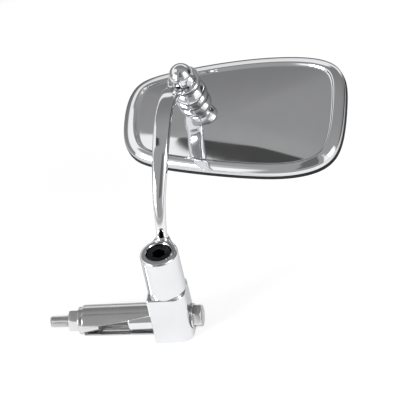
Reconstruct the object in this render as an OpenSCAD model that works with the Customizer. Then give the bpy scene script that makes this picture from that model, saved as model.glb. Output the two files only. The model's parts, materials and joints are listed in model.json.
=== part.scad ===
// Bar end mirror: a rectangular mirror head on a ball joint, an arched cast arm that swings on a
// pivot screw, and a square block with a spigot and an expanding plug for the open end of a
// handlebar. Millimetres. Origin: centre of the block's bar-side face, on the bolt axis.
// +X runs out of the bar end, +Z is the arm's swing axis, +Y is up the arm.

/* [Block] */
// Width and depth of the square block
block_w = 18.8; // [18:0.1:20]
// Height of the block above the bolt axis
block_up = 18.9; // [18:0.1:21]
// Depth of the block below the bolt axis
block_down = 9; // [8.5:0.1:10]
// Radius on the block's edges
block_edge = 1.2; // [0.6:0.1:1.6]
// Radius on the block's back corners
back_r = 6; // [5:0.1:6]
// Length of the spigot that enters the bar
spigot_len = 12.8; // [8:0.2:16]
// Radius of the spigot
spigot_r = 6.15; // [5.6:0.05:6.2]

/* [Expanding plug] */
// Outside radius of the two half sleeves
sleeve_r = 7.6; // [7.5:0.05:8]
// Inside radius of the two half sleeves
sleeve_in = 6.3; // [6.25:0.05:6.4]
// Length of the half sleeves
sleeve_len = 34.5; // [33:0.5:36]
// Half angle of the cone's taper
cone_angle = 8; // [7:0.5:9]
// Radius of the cone's rim
cone_rim = 6.75; // [6.6:0.05:6.8]
// Droop of the loose lower sleeve
lower_droop = 1.6; // [0:0.1:2]
// Length of the through bolt below its head
bolt_len = 71.4; // [68:0.2:74]

/* [Pivot hub] */
// Radius of the hub
hub_r = 9.4; // [9.3:0.05:9.6]
// Height of the hub's top face
hub_top = 42.3; // [42:0.1:43]
// Radius on the hub's top edge
hub_edge = 1.3; // [0.8:0.1:1.6]
// Radius of the screw head's counterbore
cbore_r = 6.3; // [6.2:0.05:6.6]

/* [Arm] */
// Scale on the arm's width
arm_wide = 1; // [0.9:0.05:1.1]
// Scale on the arm's thickness
arm_thick = 1; // [0.9:0.05:1.1]
// Radius of the boss at the arm's end
boss_r = 8.1; // [7.9:0.05:8.3]

/* [Ball joint] */
// Radius of the dome
dome_r = 8.4; // [8.35:0.01:8.45]
// Wall of the dome
dome_wall = 1.2; // [1.1:0.05:1.3]

/* [Mirror head] */
// Height of the crown in the middle of the back
crown = 3.2; // [2:0.1:4]
// Height of the raised bead above the panel's edge
bead = 1.0; // [0.6:0.1:1.2]
// Thickness of the sheet
sheet_t = 0.8; // [0.7:0.05:0.9]
// Thickness of the mirror glass
glass_t = 2; // [1.6:0.1:2.2]
// How far the seal's lip covers the glass
seal_lip = 1.1; // [0.8:0.1:1.6]

/* [Hidden] */
$fn = 64;

hub_x = block_w / 2;
foot_z = block_up + 0.15;
screw_seat = hub_top - 9.7;
screw_top = screw_seat + 1.2 + 8;
screw_tip = screw_seat + 1.2 - 25;
// where the ball joint is, and how the head is turned
ball = [20.6, 78.4, 74.1];
head_turn = [17, -3.5, 0];
boss_top = 13.6;
boss_low = 6.6;
nut_base = boss_top + 1.2;
cup_out = dome_r - dome_wall - 0.05;
cup_in = cup_out - 1.35;
// the head's levels, measured along the head's own axis from the ball centre
panel_z = -5.8;
wall_z = -10.1;
glass_z = -12.2;
head_c = [20, -12.5];
// where the pieces of the plug lie along the bolt
sleeve_x = -0.4 - sleeve_len;
nut_x = -42.2;
cone_x = nut_x + 5;
ta = tan(cone_angle);

// the outline of the head: round design points of a closed cubic B-spline, in the head's plane
outline_pts = [
    [-35.8, -8], [-35, 3.5], [-31.5, 12], [-24.5, 16.2], [-12, 18.6], [10, 21.1], [32, 21.8],
    [50, 20.6], [63, 18], [71.8, 13], [75.6, 4.5], [76, -9], [75.6, -24], [73.3, -36],
    [66.8, -43], [56, -45.8], [42, -46], [20, -42.4], [0, -38], [-18, -33.4], [-29.6, -28.6],
    [-35.2, -19]];
function bs(a, b, c, d, t) = ((1 - t) * (1 - t) * (1 - t) * a + (3 * t * t * t - 6 * t * t + 4) * b
    + (-3 * t * t * t + 3 * t * t + 3 * t + 1) * c + t * t * t * d) / 6;
function closed(P, n) = let (m = len(P)) [for (i = [0 : m - 1]) for (j = [0 : n - 1])
    bs(P[(i + m - 1) % m], P[i], P[(i + 1) % m], P[(i + 2) % m], j / n)];
rim = closed(outline_pts, 3);
NP = len(rim);
function inward(i) = let (d = rim[(i + 1) % NP] - rim[(i + NP - 1) % NP]) [d[1], -d[0]] / norm(d);
function inset(d) = [for (i = [0 : NP - 1]) rim[i] + d * inward(i)];
function ring(d, z) = [for (p = inset(d)) [p[0], p[1], z]];
function panel_ring(s, z0) = [for (p = inset(6.2)) let (q = head_c + (p - head_c) * s)
    [q[0], q[1], z0 + crown * (1 - s * s)]];

// the arm's centre line and section: place, width, thickness and squareness at each design point
arm_pts = [
    [9.8, 10, 38.5, 5, 4.4, 2], [10, 10.1, 43.5, 5.1, 5, 2], [10.8, 11.3, 52.9, 5.5, 5.4, 2.1],
    [11.4, 14.8, 62, 6.1, 5.4, 2.6], [12.3, 20.2, 70.1, 7, 5.3, 2.8], [12.9, 27, 77.1, 7.8, 5.1, 3.2],
    [13.35, 35, 82.5, 8.1, 4.9, 3.8], [13.6, 42.8, 85.8, 8.2, 4.7, 4], [13.8, 50.9, 87.7, 8.2, 4.6, 4],
    [14.5, 59, 88, 8.3, 4.5, 4], [15, 65, 86.3, 9, 4.5, 3.6], [15.6, 69.4, 83.8, 10.6, 4.6, 3.2],
    [17.2, 72.2, 82.3, 11.8, 4.4, 3]];
function cr(a, b, c, d, t) = 0.5 * (2 * b + (c - a) * t + (2 * a - 5 * b + 4 * c - d) * t * t
    + (3 * b - a - 3 * c + d) * t * t * t);
function open_path(P, n) = let (m = len(P)) [for (i = [0 : m - 2]) for (j = [0 : n - 1])
    cr(P[max(i - 1, 0)], P[i], P[i + 1], P[min(i + 2, m - 1)], j / n), P[m - 1]];
arm_line = open_path(arm_pts, 3);
NA = len(arm_line);
NS = 20;
function xyz(p) = [p[0], p[1], p[2]];
function unit(v) = v / norm(v);
function along(i) = unit(xyz(arm_line[min(i + 1, NA - 1)]) - xyz(arm_line[max(i - 1, 0)]));
function sgn(v) = v < 0 ? -1 : 1;
function super(a, w, t, p) = [w / 2 * sgn(cos(a)) * pow(abs(cos(a)), 2 / p),
                              t / 2 * sgn(sin(a)) * pow(abs(sin(a)), 2 / p)];
function section(i) = let (t = along(i), x = unit([1, 0, 0] - t[0] * t), n = cross(x, t), q = arm_line[i])
    [for (k = [0 : NS - 1]) let (s = super(k * 360 / NS + 9, q[3] * arm_wide, q[4] * arm_thick, q[5]))
        xyz(q) + s[0] * x + s[1] * n];

// a solid skinned over rings of equal count, closed by a flat cap at each end
module skin(R, flip = false) {
    m = len(R); n = len(R[0]);
    pts = [for (r = R) for (p = r) p];
    side = [for (k = [0 : m - 2]) for (i = [0 : n - 1]) let (a = k * n + i, b = k * n + (i + 1) % n)
        each [[a, b, b + n], [a, b + n, a + n]]];
    caps = [[for (i = [n - 1 : -1 : 0]) i], [for (i = [0 : n - 1]) (m - 1) * n + i]];
    f = concat(side, caps);
    polyhedron(points = pts, faces = flip ? [for (q = f) [for (i = [len(q) - 1 : -1 : 0]) q[i]]] : f);
}
// a closed band: rings that join up again
module band(R, flip = false) {
    m = len(R); n = len(R[0]);
    pts = [for (r = R) for (p = r) p];
    f = [for (k = [0 : m - 1]) for (i = [0 : n - 1])
        let (a = k * n + i, b = k * n + (i + 1) % n, c = ((k + 1) % m) * n + i, d = ((k + 1) % m) * n + (i + 1) % n)
        each [[a, b, d], [a, d, c]]];
    polyhedron(points = pts, faces = flip ? [for (q = f) [q[2], q[1], q[0]]] : f);
}
module in_head() { translate(ball) rotate(head_turn) children(); }
module along_x(x) { translate([x, 0, 0]) rotate([0, 90, 0]) children(); }
module tube(r, ri, h) { difference() { cylinder(r = r, h = h); translate([0, 0, -1]) cylinder(r = ri, h = h + 2); } }
module hexbar(af, h) { cylinder(r = af / 2 / cos(30), h = h, $fn = 6); }
// a rectangular bar with rounded long edges
module round_bar(a, b, h, r) {
    for (x = [-1, 1], y = [-1, 1]) translate([x * (a / 2 - r), y * (b / 2 - r), 0]) cylinder(r = r, h = h);
    translate([-a / 2 + r, -b / 2, 0]) cube([a - 2 * r, b, h]);
    translate([-a / 2, -b / 2 + r, 0]) cube([a, b - 2 * r, h]);
}

// the block seen from above: two front corners with a small radius, two back ones well rounded
module block_plan(h) {
    w = block_w / 2; e = block_edge; r = back_r;
    translate([e - w, e - w, 0]) cylinder(r = e, h = h);
    for (p = [[-1, 1], [1, 1], [1, -1]]) translate([p[0] * (w - r), p[1] * (w - r), 0]) cylinder(r = r, h = h);
    translate([-w, e - w, 0]) cube([w, 2 * w - e - r, h]);
    translate([e - w, -w, 0]) cube([2 * w - e - r, w, h]);
    translate([0, r - w, 0]) cube([w, 2 * (w - r), h]);
    translate([r - w, 0, 0]) cube([2 * (w - r), w, h]);
}
module bar_block() {
    h = block_up + block_down;
    color("#e8e8ea") difference() {
        union() {
            translate([hub_x, 0, (block_up - block_down) / 2]) intersection() {
                translate([0, 0, -h / 2]) block_plan(h);
                translate([-block_w / 2, 0, 0]) rotate([0, 90, 0]) round_bar(h, block_w, block_w, block_edge * 0.6);
            }
            along_x(-spigot_len) rotate_extrude() polygon([[0, 0], [spigot_r - 1.2, 0], [spigot_r, 1.2],
                [spigot_r, spigot_len + 2], [0, spigot_len + 2]]);
        }
        along_x(-spigot_len - 1) cylinder(r = 3.25, h = spigot_len + block_w + 2);
        translate([hub_x, 0, screw_tip - 1.3]) cylinder(r = 4.02, h = 30);
    }
}
module arm_screw() {
    color("#202022") translate([hub_x, 0, 0]) difference() {
        union() {
            translate([0, 0, screw_tip]) cylinder(r = 4, h = 25.5);
            translate([0, 0, screw_top - 8]) rotate_extrude() polygon([[0, 0], [6, 0], [6, 7.4], [5.4, 8], [0, 8]]);
        }
        translate([0, 0, screw_top - 4.6]) rotate([0, 0, 12]) hexbar(6, 6);
    }
}
module screw_spring_washer() {
    color("#3a3a3c") translate([hub_x, 0, screw_seat]) difference() {
        tube(6, 4.15, 1.2);
        rotate([0, 0, 200]) translate([3, -0.35, -1]) rotate([12, 0, 0]) cube([5, 0.7, 4]);
    }
}
module pivot_washer() { color("#c9c4b4") translate([hub_x, 0, block_up]) tube(8.6, 4.15, 0.8); }
module mirror_arm() {
    color("#dcdde0") difference() {
        union() {
            translate([hub_x, 0, foot_z]) rotate_extrude() polygon(concat([[0, 0], [hub_r, 0]],
                [for (a = [0 : 15 : 90]) [hub_r - hub_edge + hub_edge * cos(a), hub_top - foot_z - hub_edge + hub_edge * sin(a)]],
                [[0, hub_top - foot_z]]));
            hull() {
                translate([hub_x, 0, 30]) cylinder(r = hub_r - 0.2, h = hub_top - 30.25, $fn = 32);
                translate([9.9, 11, 36.5]) cylinder(r = 2.5, h = hub_top - 36.75, $fn = 32);
            }
            skin([for (i = [0 : NA - 1]) section(i)]);
            in_head() translate([0, 0, boss_low]) rotate_extrude() polygon([[0, 0], [5.6, 0], [boss_r - 1.5, 1.3],
                [boss_r - 0.4, 2.9], [boss_r, 3.9], [boss_r, boss_top - boss_low - 0.9],
                [boss_r - 0.3, boss_top - boss_low - 0.3], [boss_r - 0.9, boss_top - boss_low], [0, boss_top - boss_low]]);
        }
        translate([hub_x, 0, screw_seat]) cylinder(r = cbore_r, h = 40);
        translate([hub_x, 0, 10]) cylinder(r = 4.05, h = 30);
        translate([hub_x, 0, foot_z - 1]) cylinder(r = 8.8, h = 1.67);
        in_head() {
            sphere(r = dome_r + 0.05);
            cylinder(r = 3.05, h = 30);
            translate([0, 0, boss_top]) cylinder(r = 6.4, h = 20);
        }
    }
}
module swivel_bolt() {
    color("#b9bbc0") in_head() {
        intersection() { sphere(r = cup_in - 0.05); translate([-8, -8, 0.4]) cube([16, 16, 10]); }
        translate([0, 0, 0.4]) cylinder(r = 3, h = nut_base + 5.4);
    }
}
module lock_washer() {
    color("#c4c6ca") in_head() translate([0, 0, boss_top + 0.03]) difference() {
        tube(5.6, 3.1, 1.17);
        rotate([0, 0, -60]) translate([2, -0.35, -1]) rotate([12, 0, 0]) cube([5, 0.7, 4]);
    }
}
module acorn_nut() {
    color("#e4e5e8") in_head() translate([0, 0, nut_base]) difference() {
        union() {
            intersection() { rotate([0, 0, 15]) hexbar(11.7, 4);
                rotate_extrude() polygon([[0, 0], [5.5, 0], [6.1, 0.6], [6.1, 2.7], [5.6, 3.4], [0, 3.4]]); }
            translate([0, 0, 2.85]) intersection() { sphere(r = 5.85); translate([-6, -6, 0]) cube([12, 12, 8]); }
        }
        translate([0, 0, -1]) cylinder(r = 3.03, h = 7.3);
    }
}
module clamp_cup() {
    color("#8f9196") in_head() difference() {
        intersection() { sphere(r = cup_out); translate([-9, -9, 2.2]) cube([18, 18, 10]); }
        sphere(r = cup_in);
        cylinder(r = 4.6, h = 12);
    }
}
module swivel_dome() {
    color("#dfe0e3") in_head() difference() {
        union() {
            intersection() { sphere(r = dome_r); translate([-10, -10, -3.1]) cube([20, 20, 20]); }
            translate([0, 0, -7.5]) cylinder(r = 7.8, h = 4.4);
            translate([0, 0, -7.5]) cylinder(r = 11, h = 0.85);
        }
        sphere(r = dome_r - dome_wall);
        translate([0, 0, -9]) cylinder(r = 6.4, h = 6);
        cylinder(r = 4.75, h = 12);
    }
}
module back_shell() {
    b = bead; z = panel_z; t = sheet_t;
    outer = concat([for (s = [0.12, 0.36, 0.6, 0.82, 1]) panel_ring(s, z)],
        [ring(5.3, z + 0.12 * b), ring(4.3, z + 0.42 * b), ring(3.2, z + 0.86 * b), ring(2.1, z + b),
         ring(1.1, z + 0.8 * b), ring(0.35, z + 0.2 * b), ring(0, z - 0.8), ring(0, wall_z)]);
    inner = concat([ring(t, wall_z), ring(t, z - 0.9), ring(t + 0.35, z - 0.35), ring(1.6, z - 0.05), ring(2.3, z + b - t - 0.02),
         ring(3.1, z + 0.8 * b - t), ring(4.1, z + 0.3 * b - t), ring(5.2, z - t)],
        [for (s = [1, 0.82, 0.6, 0.36, 0.12]) panel_ring(s, z - t - 0.05)]);
    color("#d4d5d8") in_head() difference() {
        skin(concat(outer, inner));
        translate([0, 0, -8]) cylinder(r = 7.95, h = 8);
    }
}
module edge_seal() {
    color("#141415") in_head() band([ring(-0.2, wall_z), ring(-0.2, glass_z + 0.3), ring(0.3, glass_z - 0.3),
        ring(1.4 + seal_lip, glass_z - 0.3), ring(1.4 + seal_lip, glass_z), ring(1.4, glass_z), ring(1.4, wall_z)]);
}
module mirror_glass() {
    color("#9fb4c0") in_head() translate([0, 0, glass_z]) linear_extrude(height = glass_t) polygon(inset(1.4));
}
module backing_pad() {
    color("#3b3b3d") in_head() translate([0, 0, glass_z + glass_t]) linear_extrude(height = 1.5) polygon(inset(3.6));
}
module expander_bolt() {
    color("#d9dadd") {
        along_x(block_w + 1 - bolt_len) rotate_extrude() polygon([[0, 0], [2.4, 0], [3, 0.6], [3, bolt_len + 0.2], [0, bolt_len + 0.2]]);
        along_x(block_w + 1) intersection() {
            rotate([0, 0, 10]) hexbar(10, 4);
            rotate_extrude() polygon([[0, 0], [5.8, 0], [5.8, 3.3], [4.8, 4], [0, 4]]);
        }
    }
}
module bolt_washer() { color("#cfd0d3") along_x(block_w) tube(6.2, 3.25, 1); }
module expander_cone() {
    color("#b4b6ba") along_x(cone_x) difference() {
        rotate_extrude() polygon([[0, 0], [cone_rim, 0], [cone_rim, 0.9], [cone_rim - 8.9 * ta, 9.8], [0, 9.8]]);
        translate([0, 0, -1]) cylinder(r = 3.1, h = 12);
    }
}
module expander_nut() {
    color("#d6d7da") along_x(nut_x) difference() {
        intersection() {
            rotate([0, 0, 17]) hexbar(10, 5);
            rotate_extrude() polygon([[0, 0], [4.9, 0], [5.8, 0.7], [5.8, 4.3], [4.9, 5], [0, 5]]);
        }
        translate([0, 0, -1]) cylinder(r = 3.05, h = 7);
    }
}
// a half sleeve's wall, whole round, with its inner taper at the nut's end
module sleeve_wall() {
    e = cone_rim - (sleeve_x - cone_x - 0.9) * ta + 0.32;
    l = (e - sleeve_in) / ta;
    along_x(sleeve_x) rotate_extrude() polygon([[e, 0], [sleeve_r - 0.2, 0], [sleeve_r, 0.2], [sleeve_r, sleeve_len],
        [sleeve_in, sleeve_len], [sleeve_in, l]]);
}
module upper_sleeve() {
    color("#c9cacd") difference() {
        sleeve_wall();
        translate([sleeve_x, -12, 1]) rotate([0, -7.7, 0]) translate([-6, 0, -30]) cube([60, 24, 30]);
    }
}
module lower_sleeve() {
    color("#c9cacd") translate([sleeve_x, 0, 0]) rotate([0, lower_droop, 0]) translate([-sleeve_x, 0, 0]) difference() {
        sleeve_wall();
        translate([sleeve_x - 6, -12, -3.8]) cube([60, 24, 30]);
    }
}

bar_block();
arm_screw();
screw_spring_washer();
pivot_washer();
mirror_arm();
swivel_bolt();
lock_washer();
acorn_nut();
clamp_cup();
swivel_dome();
back_shell();
edge_seal();
backing_pad();
mirror_glass();
expander_bolt();
bolt_washer();
expander_cone();
expander_nut();
upper_sleeve();
lower_sleeve();
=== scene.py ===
import json
import math

import bmesh
import bpy
import numpy as np
from mathutils import Matrix, Vector


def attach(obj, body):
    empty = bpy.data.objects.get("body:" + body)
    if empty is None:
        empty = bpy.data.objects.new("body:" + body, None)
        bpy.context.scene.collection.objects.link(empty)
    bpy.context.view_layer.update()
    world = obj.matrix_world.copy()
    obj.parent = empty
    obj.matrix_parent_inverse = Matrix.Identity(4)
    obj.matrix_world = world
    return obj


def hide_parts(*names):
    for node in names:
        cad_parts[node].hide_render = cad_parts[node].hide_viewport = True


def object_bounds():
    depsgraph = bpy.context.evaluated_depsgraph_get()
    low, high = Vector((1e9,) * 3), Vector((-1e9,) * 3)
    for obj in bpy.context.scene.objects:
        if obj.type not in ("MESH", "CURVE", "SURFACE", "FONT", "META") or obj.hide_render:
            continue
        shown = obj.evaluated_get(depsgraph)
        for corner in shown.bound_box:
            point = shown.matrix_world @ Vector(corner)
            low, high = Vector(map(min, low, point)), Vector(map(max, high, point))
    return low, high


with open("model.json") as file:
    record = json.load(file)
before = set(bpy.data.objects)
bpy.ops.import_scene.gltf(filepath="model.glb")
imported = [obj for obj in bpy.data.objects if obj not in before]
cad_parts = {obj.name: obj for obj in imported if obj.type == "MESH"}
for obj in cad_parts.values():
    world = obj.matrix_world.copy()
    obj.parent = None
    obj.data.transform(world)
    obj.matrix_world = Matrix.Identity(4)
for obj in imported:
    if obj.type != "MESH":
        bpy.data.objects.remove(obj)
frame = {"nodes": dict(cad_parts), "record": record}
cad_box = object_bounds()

MM = 0.001
nodes = frame["nodes"]

# ---------------------------------------------------------------- design values, millimetres
BALL = np.array([20.6, 78.4, 74.1])
HEAD_TURN = (17.0, -3.5)
BLOCK_W, BLOCK_UP, BLOCK_DOWN = 18.8, 18.9, 9.0
HUB_X = 9.4
HUB_TOP, HUB_R = 42.3, 9.4
BOSS_R, BOSS_TOP, BOSS_LOW = 8.1, 13.6, 6.6
NUT_BASE = 14.8
PANEL_Z, WALL_Z, GLASS_Z, SHEET = -5.8, -10.1, -12.2, 0.8
CROWN, BEAD = 3.2, 1.0
SLEEVE_X, SLEEVE_R, SLEEVE_IN, SLEEVE_LEN = -34.9, 7.6, 6.3, 34.5
DROOP = 1.6
NUT_X, CONE_X, CONE_RIM = -42.2, -37.2, 6.75
TA = math.tan(math.radians(8))
BOLT_END = -51.6
OUTLINE = np.array([
    [-35.8, -8], [-35, 3.5], [-31.5, 12], [-24.5, 16.2], [-12, 18.6], [10, 21.1], [32, 21.8],
    [50, 20.6], [63, 18], [71.8, 13], [75.6, 4.5], [76, -9], [75.6, -24], [73.3, -36],
    [66.8, -43], [56, -45.8], [42, -46], [20, -42.4], [0, -38], [-18, -33.4], [-29.6, -28.6],
    [-35.2, -19]], float)
HEAD_C = np.array([20.0, -12.5])
ARM = np.array([
    [9.8, 10, 38.5, 5, 4.4, 2.4], [10, 10.1, 43.5, 5.1, 5, 2.4], [10.8, 11.3, 52.9, 5.5, 5.4, 2.4],
    [11.4, 14.8, 62, 6.1, 5.4, 2.6], [12.3, 20.2, 70.1, 7, 5.3, 2.8], [12.9, 27, 77.1, 7.8, 5.1, 3.2],
    [13.35, 35, 82.5, 8.1, 4.9, 3.8], [13.6, 42.8, 85.8, 8.2, 4.7, 4], [13.8, 50.9, 87.7, 8.2, 4.6, 4],
    [14.5, 59, 88, 8.3, 4.5, 4], [15, 65, 86.3, 9, 4.5, 3.6], [15.6, 69.4, 83.8, 10.6, 4.6, 3.2],
    [17.2, 72.2, 82.3, 11.8, 4.4, 3]])


def rot(axis, deg):
    return np.array(Matrix.Rotation(math.radians(deg), 3, axis))


HM = rot("Y", HEAD_TURN[1]) @ rot("X", HEAD_TURN[0])
E1, E2, EN = HM[:, 0], HM[:, 1], HM[:, 2]


def to_head(p):
    return np.asarray(p, float) @ HM.T + BALL


def along_x(p, x0=0.0):
    """Points of a body turned about local Z, laid along +X from x0."""
    p = np.asarray(p, float)
    return np.stack([p[:, 2] + x0, p[:, 1], -p[:, 0]], 1)


def along_z(p, x0=HUB_X, z0=0.0):
    p = np.asarray(p, float)
    return np.stack([p[:, 0] + x0, p[:, 1], p[:, 2] + z0], 1)


# ---------------------------------------------------------------- materials
def new_mat(name):
    m = bpy.data.materials.new(name)
    m.use_nodes = True
    nt = m.node_tree
    bsdf = next(n for n in nt.nodes if n.type == "BSDF_PRINCIPLED")
    return m, nt, bsdf


def link(nt, a, b):
    nt.links.new(a, b)


def noise(nt, scale, detail=4.0, rough=0.5, stretch=None, seed=0.0):
    tc = nt.nodes.new("ShaderNodeTexCoord")
    mp = nt.nodes.new("ShaderNodeMapping")
    mp.inputs["Location"].default_value = (seed, seed * 0.7, -seed)
    if stretch is not None:
        mp.inputs["Scale"].default_value = stretch
    n = nt.nodes.new("ShaderNodeTexNoise")
    n.inputs["Scale"].default_value = scale
    n.inputs["Detail"].default_value = detail
    n.inputs["Roughness"].default_value = rough
    link(nt, tc.outputs["Object"], mp.inputs["Vector"])
    link(nt, mp.outputs["Vector"], n.inputs["Vector"])
    return n


def ramp(nt, src, lo, hi, a, b):
    r = nt.nodes.new("ShaderNodeMapRange")
    r.inputs["From Min"].default_value = lo
    r.inputs["From Max"].default_value = hi
    r.inputs["To Min"].default_value = a
    r.inputs["To Max"].default_value = b
    link(nt, src, r.inputs["Value"])
    return r.outputs["Result"]


def mixc(nt, fac, a, b):
    m = nt.nodes.new("ShaderNodeMix")
    m.data_type = "RGBA"
    if isinstance(fac, float):
        m.inputs[0].default_value = fac
    else:
        link(nt, fac, m.inputs[0])
    for sock, v in ((m.inputs[6], a), (m.inputs[7], b)):
        if isinstance(v, tuple):
            sock.default_value = (*v, 1.0)
        else:
            link(nt, v, sock)
    return m.outputs[2]


def math_node(nt, op, a, b):
    m = nt.nodes.new("ShaderNodeMath")
    m.operation = op
    m.use_clamp = True
    for i, v in enumerate((a, b)):
        if isinstance(v, (int, float)):
            m.inputs[i].default_value = v
        else:
            link(nt, v, m.inputs[i])
    return m.outputs[0]


def edge_mask(nt, lo=0.52, hi=0.62):
    g = nt.nodes.new("ShaderNodeNewGeometry")
    return ramp(nt, g.outputs["Pointiness"], lo, hi, 0.0, 1.0)


def metal(name, color, rough, rough_var=0.04, tint=None, wear=None, scratch=0.0006, grain=None,
          grain_strength=0.0, fine=900.0, rim=(0.6, 0.6, 0.61)):
    """A plated or turned metal: slow tint drift, smudged roughness, hairline marks, and worn edges."""
    m, nt, b = new_mat(name)
    b.inputs["Metallic"].default_value = 1.0
    b.inputs["Specular Tint"].default_value = (*rim, 1.0)
    slow = noise(nt, 38.0, 3.0, 0.55)
    smudge = noise(nt, 95.0, 6.0, 0.62, seed=3.1)
    tiny = noise(nt, fine, 3.0, 0.6, seed=7.7)
    tint = tint or tuple(c * 0.94 for c in color)
    col = mixc(nt, ramp(nt, slow.outputs["Fac"], 0.35, 0.7, 0.0, 1.0), color, tint)
    wear = wear or tuple(min(1.0, c * 1.05) for c in color)
    edge = edge_mask(nt)
    worn = math_node(nt, "MULTIPLY", edge, ramp(nt, smudge.outputs["Fac"], 0.4, 0.65, 0.25, 1.0))
    col = mixc(nt, worn, col, wear)
    link(nt, col, b.inputs["Base Color"])
    r = ramp(nt, smudge.outputs["Fac"], 0.3, 0.75, rough, rough + rough_var)
    r = math_node(nt, "ADD", r, math_node(nt, "MULTIPLY", worn, 0.06))
    link(nt, r, b.inputs["Roughness"])
    bump = nt.nodes.new("ShaderNodeBump")
    bump.inputs["Strength"].default_value = 0.25
    bump.inputs["Distance"].default_value = scratch * MM * 10
    link(nt, tiny.outputs["Fac"], bump.inputs["Height"])
    out = bump.outputs["Normal"]
    if grain is not None:
        g = noise(nt, 700.0, 4.0, 0.6, stretch=grain, seed=1.9)
        gb = nt.nodes.new("ShaderNodeBump")
        gb.inputs["Strength"].default_value = grain_strength
        gb.inputs["Distance"].default_value = 0.02 * MM
        link(nt, g.outputs["Fac"], gb.inputs["Height"])
        link(nt, out, gb.inputs["Normal"])
        out = gb.outputs["Normal"]
    link(nt, out, b.inputs["Normal"])
    return m


def soft(name, color, color2, rough, bump_scale, bump_mm, spec=0.5, wear=None):
    """Rubber, foam or moulded plastic: mottled colour, a fine pebble and rubbed edges."""
    m, nt, b = new_mat(name)
    b.inputs["Metallic"].default_value = 0.0
    b.inputs["Specular IOR Level"].default_value = spec
    slow = noise(nt, 160.0, 4.0, 0.6)
    fine = noise(nt, bump_scale, 5.0, 0.65, seed=5.0)
    col = mixc(nt, ramp(nt, slow.outputs["Fac"], 0.3, 0.7, 0.0, 1.0), color, color2)
    edge = edge_mask(nt, 0.53, 0.66)
    col = mixc(nt, math_node(nt, "MULTIPLY", edge, 0.6), col, wear or tuple(min(1.0, c * 1.8 + 0.01) for c in color2))
    link(nt, col, b.inputs["Base Color"])
    link(nt, ramp(nt, fine.outputs["Fac"], 0.3, 0.7, rough - 0.06, rough + 0.08), b.inputs["Roughness"])
    bump = nt.nodes.new("ShaderNodeBump")
    bump.inputs["Strength"].default_value = 0.5
    bump.inputs["Distance"].default_value = bump_mm * MM
    link(nt, fine.outputs["Fac"], bump.inputs["Height"])
    link(nt, bump.outputs["Normal"], b.inputs["Normal"])
    return m


MAT = {
    "chrome": metal("chrome_plate", (0.83, 0.835, 0.85), 0.035, 0.035),
    # the head's chrome: the same plate with a near-black edge tint, painted shade darkening the head's outline at
    # grazing angles
    "chrome_head_painted_rim_shade": metal("chrome_head_painted_rim_shade", (0.83, 0.835, 0.85), 0.035, 0.035, rim=(0.1, 0.1, 0.105)),
    "zinc_steel": metal("zinc_steel", (0.72, 0.725, 0.72), 0.16, 0.08, scratch=0.004, grain=(0.12, 1.0, 1.0),
                        grain_strength=0.25),
    "black_steel": metal("black_oxide", (0.035, 0.036, 0.04), 0.3, 0.12, tint=(0.022, 0.022, 0.025),
                         wear=(0.16, 0.16, 0.17), scratch=0.004),
    "black_rubber": soft("black_rubber", (0.012, 0.012, 0.013), (0.02, 0.02, 0.021), 0.55, 2600.0, 0.02, 0.12),
    "foam_pad": soft("foam_pad", (0.03, 0.03, 0.032), (0.05, 0.05, 0.052), 0.9, 1500.0, 0.08, 0.2),
    "washer_plastic": soft("nylon", (0.70, 0.68, 0.60), (0.63, 0.61, 0.53), 0.5, 1200.0, 0.01, 0.5),
    "silvered_glass": metal("silvered_glass", (0.86, 0.885, 0.89), 0.012, 0.012, tint=(0.85, 0.875, 0.88),
                            scratch=0.0001),
}


# ---------------------------------------------------------------- mesh helpers
def obj_from(name, verts, faces, smooth=True, angle=32.0):
    me = bpy.data.meshes.new(name)
    me.from_pydata([tuple(v) for v in np.asarray(verts, float) * MM], [], [tuple(int(i) for i in f) for f in faces])
    me.validate(verbose=False)
    bm = bmesh.new()
    bm.from_mesh(me)
    bmesh.ops.remove_doubles(bm, verts=bm.verts, dist=2e-6)
    bmesh.ops.recalc_face_normals(bm, faces=bm.faces)
    bm.to_mesh(me)
    bm.free()
    o = bpy.data.objects.new(name, me)
    bpy.context.scene.collection.objects.link(o)
    if smooth:
        shade(o, angle)
    return o


def shade(o, angle=32.0):
    me = o.data
    me.polygons.foreach_set("use_smooth", [True] * len(me.polygons))
    me.set_sharp_from_angle(angle=math.radians(angle))
    me.update()


def grid_faces(m, n, close_n=True, close_m=False):
    f = []
    for k in range(m if close_m else m - 1):
        k2 = (k + 1) % m
        for i in range(n if close_n else n - 1):
            j = (i + 1) % n
            f.append((k * n + i, k * n + j, k2 * n + j, k2 * n + i))
    return f


def skin(rings, cap_start=True, cap_end=True):
    """Faces over rings of equal count, with a fan at each end."""
    m, n = len(rings), len(rings[0])
    v = np.concatenate([np.asarray(r, float) for r in rings])
    f = grid_faces(m, n)
    extra = []
    if cap_start:
        extra.append(np.mean(rings[0], 0))
        c = len(v) + len(extra) - 1
        f += [((i + 1) % n, i, c) for i in range(n)]
    if cap_end:
        extra.append(np.mean(rings[-1], 0))
        c = len(v) + len(extra) - 1
        f += [((m - 1) * n + i, (m - 1) * n + (i + 1) % n, c) for i in range(n)]
    if extra:
        v = np.concatenate([v, np.array(extra)])
    return v, f


def lathe(profile, n=96, close=False):
    """profile: (r, z) pairs. Points on the axis become one vertex by the merge in obj_from."""
    a = np.linspace(0, 2 * math.pi, n, endpoint=False)
    rings = [np.stack([r * np.cos(a), r * np.sin(a), np.full(n, z)], 1) for r, z in profile]
    v = np.concatenate(rings)
    return v, grid_faces(len(profile), n, True, close)


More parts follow.
